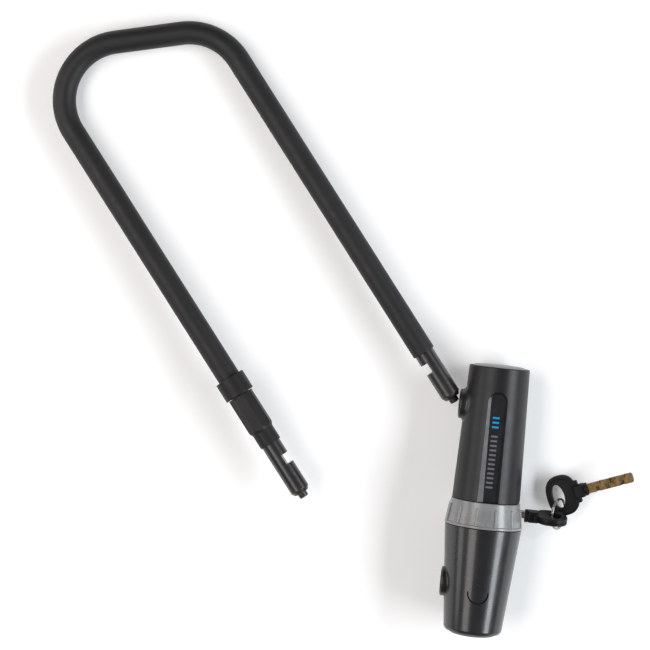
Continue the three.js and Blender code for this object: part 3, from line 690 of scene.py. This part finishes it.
def lower_cover():
    foot = CROSSBAR_LENGTH
    cover = lathe("lower_cover", [
        (SPIGOT_RADIUS, along(SPIGOT_SPLIT + 1)), (SPIGOT_RADIUS, along(RING_FOOT + FIT)),
        (LOWER_HEAD_RADIUS, along(RING_FOOT + FIT), 0.5), (LOWER_FOOT_RADIUS, along(foot - 2), 2.5),
        (LOWER_FOOT_RADIUS - 1.2, along(foot), 0.8), (LOWER_CAP_SEAT, along(foot)),
        (LOWER_CAP_SEAT, along(TUBE_FOOT)), (COVER_BORE, along(TUBE_FOOT)),
        (COVER_BORE, along(SPIGOT_SPLIT + 1)),
    ], CROSSBAR)
    groove = prism("groove", tongue(ARC_WIDTH, along(ARC_FOOT - 8.6), along(ARC_FOOT)), 0, 30, CROSSBAR)
    tongue_inside = tongue(ARC_WIDTH - 2 * ARC_LINE, along(ARC_FOOT - 14), along(ARC_FOOT - ARC_LINE))
    head, tail = ARC_FOOT - 20, ARC_FOOT + 10
    floor = lathe("floor", [
        (0, along(head)), (lower_radius(head) - ARC_DEPTH, along(head)),
        (lower_radius(tail) - ARC_DEPTH, along(tail)), (0, along(tail)),
    ], CROSSBAR, is_closed=False)
    cut(groove, prism("inside", tongue_inside, -1, 31, CROSSBAR), floor)
    socket = socket_hole(LOWER_SOCKET, 32)
    window = key_window()
    cut(cover, groove, socket, window)
    soften(cover, 0.15, 2, 30)
    return dress(cover, "crossbar", ["lower_sleeve"], "gloss_cover", GLOSS)


def end_caps():
    plug = [(TUBE_BORE - FIT, CAP_SKIRT), (TUBE_BORE - FIT, CAP_FOOT), (0, CAP_FOOT)]
    upper = lathe("upper_cap", [
        (0, 1.5), (8.6, 1.5, 3), (16.4, 1.0, 6), (19.2, -0.2, 0.6), (19.2, CAP_SKIRT), *plug,
    ], place_at(CROSSBAR, (0, along(0), 0)), is_closed=False)
    dress(upper, "crossbar", ["upper_end_cap"], "cap_plastic", CAP)
    turned = place_at(CROSSBAR, (0, along(CROSSBAR_LENGTH), 0), spin("Z", 180))
    lower = lathe("lower_cap", [
        (0, 2.8), (8, 2.8, 3), (15.2, 1.95, 6), (17.9, 0, 0.8), (17.9, CAP_SKIRT), *plug,
    ], turned, is_closed=False)
    dress(lower, "crossbar", ["lower_end_cap"], "cap_plastic", FOOT_CAP)


def dust_ring():
    head, foot = RING_HEAD + FIT, RING_FOOT
    ring = lathe("ribbed_ring", [
        (SPIGOT_RADIUS + FIT, along(head)), (RING_HEAD_RADIUS, along(head), 0.5),
        (RING_RIM_RADIUS - RIM_STEP, along(foot - RIM_HEIGHT), 0.7),
        (RING_RIM_RADIUS, along(foot - RIM_HEIGHT + 0.4), 0.2),
        (RING_RIM_RADIUS, along(foot), 0.35), (SPIGOT_RADIUS + FIT, along(foot)),
    ], CROSSBAR, sides=192)
    lean = math.degrees(math.atan2(RING_RIM_RADIUS - RIM_STEP - RING_HEAD_RADIUS, foot - RIM_HEIGHT - head))
    for k in range(RIB_COUNT):
        turn = Matrix.Rotation(-2 * math.pi * (k + 0.5) / RIB_COUNT, 4, "Y")
        at = place_at(CROSSBAR @ turn, (RIB_RADIUS, along(RIB_HEAD), 0), spin("Z", lean))
        rib = [(0, 0), (0.9, 0, 0.85), (0.85, -RIB_LENGTH), (0, -RIB_LENGTH)]
        join(ring, lathe("rib", rib, at, sides=20, is_closed=False))
    slot = []
    for centre, start in zip(KEY_SLOT_ENDS, (0, math.pi)):
        for k in range(17):
            t = start + math.pi * k / 16
            slot.append((KEY_SLOT_RADIUS * math.cos(t), centre + KEY_SLOT_RADIUS * math.sin(t)))
    window = prism("window", slot, 0, 30, KEY_AXIS, "X")
    cut(ring, window)
    soften(ring, 0.12, 2, 30)
    return dress(ring, "dust_ring", ["dust_ring"], "ring_plastic", RING)


def socket_boss(side, station, radius_at, flare):
    """A round socket whose foot spreads onto the curved cover; its face looks along -X."""
    sides, arc = 96, 8

    def surface(y, z):
        return -math.sqrt(max(radius_at(station - y) ** 2 - z * z, 1))

    points, rows = [], []
    for k in range(sides):
        turn = 2 * math.pi * k / sides
        c, s = math.cos(turn), math.sin(turn)
        foot = BOSS_RADIUS + flare
        sunk = surface(foot * c, foot * s) + 1.2
        column = [
            (SOCKET_RADIUS, BOSS_BACK), (SOCKET_RADIUS, -BOSS_FACE + MOUTH_DEPTH + 0.2),
            (MOUTH_RADIUS, -BOSS_FACE + MOUTH_DEPTH), (MOUTH_RADIUS, -BOSS_FACE + 0.7),
            (MOUTH_RADIUS + 0.2, -BOSS_FACE + 0.2),
            (MOUTH_RADIUS + 0.6, -BOSS_FACE),
        ]
        for i in range(5):
            a = math.pi / 2 * i / 4
            radius = BOSS_RADIUS - BOSS_ROUND + BOSS_ROUND * math.sin(a)
            column.append((radius, -BOSS_FACE + BOSS_ROUND * (1 - math.cos(a))))
        wall = surface(BOSS_RADIUS * c, BOSS_RADIUS * s)
        reach = max(0.3, min(flare, BOSS_FACE - 1.4 + wall))
        for i in range(arc + 1):
            a = math.pi / 2 * i / arc
            radius = BOSS_RADIUS + flare * (1 - math.cos(a))
            column.append((radius, surface(radius * c, radius * s) - reach * (1 - math.sin(a))))
        column += [(foot, sunk), (BOSS_RADIUS - 0.8, sunk + 1.5), (BOSS_RADIUS - 0.8, BOSS_BACK)]
        rows.append([len(points) + i for i in range(len(column))])
        points += [(x, radius * c, radius * s) for radius, x in column]
    count = len(rows[0])
    faces = []
    for k in range(sides):
        here, there = rows[k], rows[(k + 1) % sides]
        faces += [(here[i], here[(i + 1) % count], there[(i + 1) % count], there[i]) for i in range(count)]
    place = place_at(CROSSBAR, (0, along(station), 0))
    boss = mesh_object(f"{side}_socket", points, faces, place)
    space = [(0, -30), (TUBE_RADIUS + FIT, -30), (TUBE_RADIUS + FIT, 30), (0, 30)]
    cut(boss, lathe("tube_space", space, place, is_closed=False))
    dress(boss, "crossbar", [f"{side}_socket_boss"], "satin_cover", BOSS)
    back = -BOSS_FACE + MOUTH_DEPTH - FIT
    front = back - SEAL_HEIGHT
    inner, outer = SEAL_RADII
    profile = [(inner, back, 0.3), (outer, back, 0.3), (outer, front, 0.3), (inner, front, 0.45)]
    seal = lathe(f"{side}_seal_ring", profile, place, "X", 64)
    dress(seal, "crossbar", [f"{side}_socket_seal"], "seal_rubber", SEAL)


# Shackle
def shackle_line(lower_end, upper_end, spacing=6.0):
    """Points and headings along the bar, from the lower leg round the bend to the upper leg."""
    crown = (LEG_SPACING - 2 * BEND_RADIUS) / math.sin(SHARP_TURN)
    stretches = [
        (LOWER_LEG_LENGTH + lower_end, 0), (BEND_RADIUS * SHARP_TURN, SHARP_TURN),
        (crown, 0), (BEND_RADIUS * (math.pi - SHARP_TURN), math.pi - SHARP_TURN),
    ]
    heading, at = math.pi, Vector((lower_end, -LEG_SPACING))
    line = [(at.copy(), heading)]
    for length, turn in stretches:
        steps = max(1, round(length / (2.5 if turn else spacing)))
        bend = turn / steps
        chord = 2 * BEND_RADIUS * math.sin(bend / 2) if turn else length / steps
        for _ in range(steps):
            middle = heading - bend / 2
            at = at + Vector((math.cos(middle), math.sin(middle))) * chord
            heading -= bend
            line.append((at.copy(), heading))
    steps = round((upper_end - at.x) / spacing)
    for k in range(1, steps + 1):
        line.append((Vector((at.x + (upper_end - at.x) * k / steps, 0)), heading))
    return line


def sweep(rows, sides=64):
    """Points and faces of a skin over rows of (centre, heading, radius); a radius of 0 closes an end."""
    points, rings = [], []
    for centre, heading, radius in rows:
        aside = Vector((-math.sin(heading), math.cos(heading)))
        ring = []
        for k in range(sides if radius > 1e-6 else 1):
            turn = 2 * math.pi * k / sides
            offset = aside * radius * math.cos(turn)
            ring.append(len(points))
            points.append((centre.x + offset.x, centre.y + offset.y, radius * math.sin(turn)))
        rings.append(ring)
    faces = []
    for low, high in zip(rings, rings[1:]):
        for k in range(sides):
            n = (k + 1) % sides
            if len(low) == 1:
                faces.append((low[0], high[k], high[n]))
            elif len(high) == 1:
                faces.append((low[k], high[0], low[n]))
            else:
                faces.append((low[k], high[k], high[n], low[n]))
    return points, faces


def tip_rows(y, heading, from_end):
    """The chamfer and nib of a leg end, as (centre, heading, radius) rows from the bar outwards."""
    profile = rounded([
        (BAR_RADIUS, -6), (BAR_RADIUS, -2.8, 0.7), (5.2, 0, 0.5), (NIB_RADIUS + 0.2, 0, 0.25),
        (NIB_RADIUS, NIB_LENGTH, 0.6), (0, NIB_LENGTH),
    ], False, 3)
    rows = [(Vector((x, y)), heading, radius) for radius, x in profile]
    return rows[::-1] if from_end else rows


def shackle_rod():
    line = shackle_line(-7, -7)
    rows = tip_rows(-LEG_SPACING, math.pi, True)
    rows += [(at, heading, BAR_RADIUS) for at, heading in line]
    rows += tip_rows(0, 0, False)
    points, faces = sweep(rows)
    rod = mesh_object("shackle_rod", points, faces, SHACKLE)
    floor = BAR_RADIUS - NOTCH_DEPTH
    far = -NOTCH_NEAR - NOTCH_LENGTH
    cut(
        rod,
        block("notch_a", (far, -12, -12), (-NOTCH_NEAR, -floor, 12), SHACKLE),
        block("notch_b", (far, -LEG_SPACING + floor, -12), (-NOTCH_NEAR, -LEG_SPACING + 12, 12), SHACKLE),
    )
    soften(rod, 0.3, 2, 45)
    return dress(rod, "shackle", ["shackle_bar"], "bar_steel", BAR)


def shackle_skin():
    """The soft sleeve: a tube whose outside swells and rolls by tenths of a millimetre."""
    start, end = -(COLLAR_START + COLLAR_END) / 2 - 0.3, -BARE_UPPER
    line = shackle_line(start, end, 4.0)
    edge = 0.7
    sides = 72
    outer = []
    for at, heading in line:
        swell = 0.06 * noise.noise(Vector((at.x, at.y, 3)) * 0.03)
        outer.append((at, heading, SLEEVE_RADIUS - SKIN_INSET + swell))
    last_at, last_heading = line[-1]
    lip = []
    for k in range(6):
        a = math.pi / 2 * k / 5
        at = Vector((last_at.x - edge + edge * math.sin(a), last_at.y))
        lip.append((at, last_heading, SLEEVE_RADIUS - SKIN_INSET - edge + edge * math.cos(a)))
    inner = [(at, heading, BAR_RADIUS + FIT) for at, heading in line[::-1]]
    rows = outer[:-1] + lip + inner
    points, faces = sweep(rows, sides)
    last = len(points) - sides
    faces += [(last + k, k, (k + 1) % sides, last + (k + 1) % sides) for k in range(sides)]
    skin = mesh_object("shackle_skin", points, faces, SHACKLE)
    return dress(skin, "shackle", ["shackle_sleeve"], "bar_sleeve", VINYL)


def adapter():
    bore_radius = BAR_RADIUS + FIT
    middle = -(COLLAR_START + COLLAR_END) / 2
    collar = lathe("collar", [
        (SLEEVE_RADIUS + 0.25, -COLLAR_START, 0.3), (COLLAR_RADIUS, -COLLAR_START, 0.7),
        (COLLAR_RADIUS, -COLLAR_END, 0.9), (bore_radius, -COLLAR_END),
        (bore_radius, middle), (SLEEVE_RADIUS + 0.25, middle),
    ], LEG, "X", 96)
    dress(collar, "shackle", ["adapter_collar"], "adapter_plastic", ADAPTER)

    corner = ADAPTER_ACROSS_FLATS / 2 / math.cos(math.pi / ADAPTER_SIDES)
    turns = [math.radians(90 + ADAPTER_TURN + 360 * k / ADAPTER_SIDES) for k in range(ADAPTER_SIDES)]
    flats = [(corner * math.cos(t), corner * math.sin(t)) for t in turns]
    body = prism("bracket_adapter_body", flats, -COLLAR_END + FIT, -ADAPTER_END, LEG, "X")
    cone = lathe("cone", [
        (0, -COLLAR_END - 1), (corner + 1, -COLLAR_END - 1), (corner + 0.1, -ADAPTER_END - 3),
        (FOOT_RADIUS + 0.1, -ADAPTER_END - 0.1), (0, -ADAPTER_END - 0.1),
    ], LEG, "X", 96, False)
    keep_common(body, cone)
    foot = lathe("foot", [
        (0, -ADAPTER_END - 4), (FOOT_RADIUS, -ADAPTER_END - 4), (FOOT_RADIUS, -FOOT_END, 0.5), (0, -FOOT_END),
    ], LEG, "X", 96, False)
    join(body, foot)
    bore = lathe("bore", [(0, -90), (bore_radius, -90), (bore_radius, -30), (0, -30)], LEG, "X", 64, False)
    cut(body, bore)
    soften(body, 0.28, 2, 24)
    return dress(body, "shackle", ["bracket_adapter"], "adapter_plastic", ADAPTER)


# Keys: the root is at X = 0, the blade runs along -X, the bow along +X, wide along Z and thin along Y
def key_blade(name, place, body, node):
    lean = math.asin(BLADE_FLAT / BLADE_RADIUS)
    steps = 28
    arc = [math.pi - lean + (math.pi + 2 * lean) * k / steps for k in range(steps + 1)]
    section = [(-BLADE_RADIUS * math.sin(t), BLADE_RADIUS * math.cos(t)) for t in arc]
    blade = prism(name, section, -BLADE_LENGTH, 0.5, place, "X")
    for k, angle in enumerate(KEY_CUTS):
        x = -BLADE_LENGTH + 3.2 + k * (DISC_PITCH + 1.0)
        depth = 0.8 + 0.2 * math.sin(k * 2.3)
        cut(blade, block("bit", (x, -6, -6), (x + DISC_PITCH, -depth, 6), place, spin("X", angle)))
    outer = BLADE_RADIUS + 0.1
    tip_line = [(0, -BLADE_LENGTH), (outer, -BLADE_LENGTH, 1.6), (outer, 2), (0, 2)]
    tip = lathe("tip", tip_line, place, "X", 64, False)
    keep_common(blade, tip)
    join(blade, block("tang", (-0.6, -1.2, -2.5), (8.5, 1.2, 1.1), place))
    soften(blade, 0.14, 2, 30)
    is_cut = [polygon.normal.y < -0.5 for polygon in blade.data.polygons]
    dress(blade, body, [node], "brass", NICKEL, CUT_BRASS)
    for polygon, cut_face in zip(blade.data.polygons, is_cut):
        polygon.material_index = 1 if cut_face else 0
    return blade


def bow_outline(inset, steps=120):
    """The oval bow as points (X, Z), drawn in by an inset."""
    power = 2.5
    centre = NECK_LENGTH + BOW_LENGTH / 2
    points = []
    for k in range(steps):
        t = 2 * math.pi * k / steps
        c, s = math.cos(t), math.sin(t)
        x = math.copysign(abs(c) ** (2 / power), c) * (BOW_LENGTH / 2 - inset)
        z = math.copysign(abs(s) ** (2 / power), s) * (BOW_WIDTH / 2 - inset)
        points.append((centre + x, z))
    return points


def hole_outline(inset, steps=120):
    half_x, half_z = BOW_HOLE
    return [(BOW_HOLE_CENTRE + (half_x + inset) * math.cos(2 * math.pi * k / steps),
             (half_z + inset) * math.sin(2 * math.pi * k / steps)) for k in range(steps)]


def key_bow(name, place, body, node):
    half = BOW_THICKNESS / 2
    # rows of (inset of the rim, place through the thickness): rounded faces and a groove round the edge
    profile = [(3.4, -half + 0.35), (2.6, -half + 0.3), (2.1, -half), (0.9, -half), (0.3, -half + 0.25),
               (0.0, -half + 0.8), (0.0, -0.75), (0.18, -0.6), (0.62, -0.5)]
    profile += [(inset, -y) for inset, y in profile[::-1]]
    steps = 120
    points, rows = [], []
    for inset, y in profile:
        rows.append([len(points) + i for i in range(steps)])
        points += [(x, y, z) for x, z in bow_outline(inset, steps)]
    faces = []
    for low, high in zip(rows, rows[1:]):
        faces += [(low[i], low[(i + 1) % steps], high[(i + 1) % steps], high[i]) for i in range(steps)]
    faces += [tuple(rows[0])[::-1], tuple(rows[-1])]
    bow = mesh_object(name, points, faces, place)
    neck = block("neck", (2.0, -3.9, -4.8), (NECK_LENGTH + 2.5, 3.9, 4.8), place)
    soften(neck, 1.2, 4, 30)
    flank = half - 0.15
    shoulder = block("shoulder", (NECK_LENGTH - 1.5, -flank, -8), (NECK_LENGTH + 4, flank, 8), place)
    soften(shoulder, 1.0, 3, 30)
    collar_line = [(0, 0.05), (4.6, 0.05, 0.5), (4.6, 2.4, 0.4), (0, 2.4)]
    collar = lathe("collar_ring", collar_line, place, "X", 64, False)
    hole = prism("hole", hole_outline(0), -8, 8, place, "Y")
    cavity = block("cavity", (-1, -1.5, -2.8), (8.8, 1.5, 1.4), place)
    join(bow, shoulder, neck, collar)
    cut(bow, hole, cavity)
    soften(bow, 0.3, 3, 38)
    return dress(bow, body, [node], "key_plastic", KEY_PLASTIC)


def split_ring():
    """Two turns of spring wire side by side, each end bent over to the other side."""
    turns, per_turn, sides = 2.1, 72, 12
    half_wide, half_thick = SPLIT_RING_WIRE
    total = int(turns * per_turn)
    points, rings = [], []
    for i in range(total + 1):
        share = i / total
        angle = 2 * math.pi * turns * share
        lift = half_thick * max(-1, min(1, (share - 0.5) * 16))
        outward = Vector((0, math.cos(angle), math.sin(angle)))
        centre = outward * (SPLIT_RING_RADIUS - 0.02) + Vector((lift, 0, 0))
        end = 1 if 0 < i < total else 0.7
        rings.append([len(points) + k for k in range(sides)])
        for k in range(sides):
            t = 2 * math.pi * k / sides
            across = outward * half_wide * end * math.cos(t)
            points.append(centre + across + Vector((half_thick * end * math.sin(t), 0, 0)))
    faces = []
    for low, high in zip(rings, rings[1:]):
        faces += [(low[k], low[(k + 1) % sides], high[(k + 1) % sides], high[k]) for k in range(sides)]
    faces += [tuple(rings[0])[::-1], tuple(rings[-1])]
    wire = mesh_object("coiled_ring", points, faces, SPLIT_RING)
    return dress(wire, "key_ring", ["split_ring"], "wire", WIRE)


CAD_FINISH = {
    STEEL: ["crossbar_tube", "drive_cam", "keyway_plate"],
    ZINC: ["upper_guide", "lower_guide", "cylinder_housing"],
    PIN: ["upper_guide_pin", "lower_guide_pin", "cylinder_screw", "upper_bolt", "lower_bolt", "side_bar"],
    BRASS: ["cylinder_core", *[f"lock_disc_{k}" for k in range(1, 8)]],
}


def finish_inner_parts():
    """The inner parts keep their CAD shapes and get worn metal finishes."""
    for material, names in CAD_FINISH.items():
        for name in names:
            node = frame["nodes"][name]
            node.data.materials.clear()
            node.data.materials.append(material)


# Stage
def floor():
    size = FLOOR_HALF
    ground = mesh_object("floor", [(-size / MM, -size / MM, 0), (size / MM, -size / MM, 0),
                                   (size / MM, size / MM, 0), (-size / MM, size / MM, 0)],
                         [(0, 1, 2, 3)], Matrix.Translation((0, 0, cad_low.z - FLOOR_GAP)))
    nodes = Nodes("pale_floor")
    tone = nodes.mix(nodes.noise(3, 2), (0.86, 0.86, 0.86), (0.88, 0.88, 0.88))
    nodes.feed("Base Color", tone)
    nodes.fixed(Roughness=0.9, Specular_IOR_Level=0.1, Emission_Strength=0.2)
    nodes.shader.inputs["Emission Color"].default_value = (1, 1, 1, 1)
    ground.data.materials.append(nodes.material)


def softbox(name, place, aim, size, power, colour):
    data = bpy.data.lights.new(name, "AREA")
    data.shape = "RECTANGLE"
    data.size, data.size_y = size
    data.energy = power
    data.color = colour
    light = bpy.data.objects.new(name, data)
    bpy.context.scene.collection.objects.link(light)
    light.location = place
    light.rotation_euler = (Vector(aim) - Vector(place)).to_track_quat("-Z", "Y").to_euler()


def lighting():
    world = bpy.data.worlds.new("studio")
    world.use_nodes = True
    backdrop = world.node_tree.nodes["Background"]
    backdrop.inputs["Color"].default_value = BACKDROP_COLOUR
    backdrop.inputs["Strength"].default_value = BACKDROP_STRENGTH
    bpy.context.scene.world = world
    for name, values in SOFTBOXES.items():
        softbox(name, *values)


def camera():
    data = bpy.data.cameras.new("camera")
    data.lens = CAMERA_LENS
    data.sensor_width = SENSOR
    data.clip_start, data.clip_end = CAMERA_CLIP
    view = bpy.data.objects.new("camera", data)
    bpy.context.scene.collection.objects.link(view)
    view.location = CAMERA_PLACE
    view.rotation_mode = "ZYX"
    view.rotation_euler = [math.radians(turn) for turn in CAMERA_TURN]
    bpy.context.scene.camera = view


camera()
lighting()
floor()
upper_cover()
inlay()
lower_cover()
end_caps()
dust_ring()
socket_boss("upper", UPPER_SOCKET, upper_radius, 2.6)
socket_boss("lower", LOWER_SOCKET, lower_radius, 0.9)
shackle_rod()
shackle_skin()
adapter()
key_blade("key_bit", KEY, "key", "key_blade")
key_bow("key_head", KEY, "key", "key_bow")
key_blade("spare_key_bit", SPARE_KEY, "spare_key", "spare_key_blade")
key_bow("spare_key_head", SPARE_KEY, "spare_key", "spare_key_bow")
split_ring()
finish_inner_parts()
bpy.context.scene.view_settings.view_transform = "Standard"
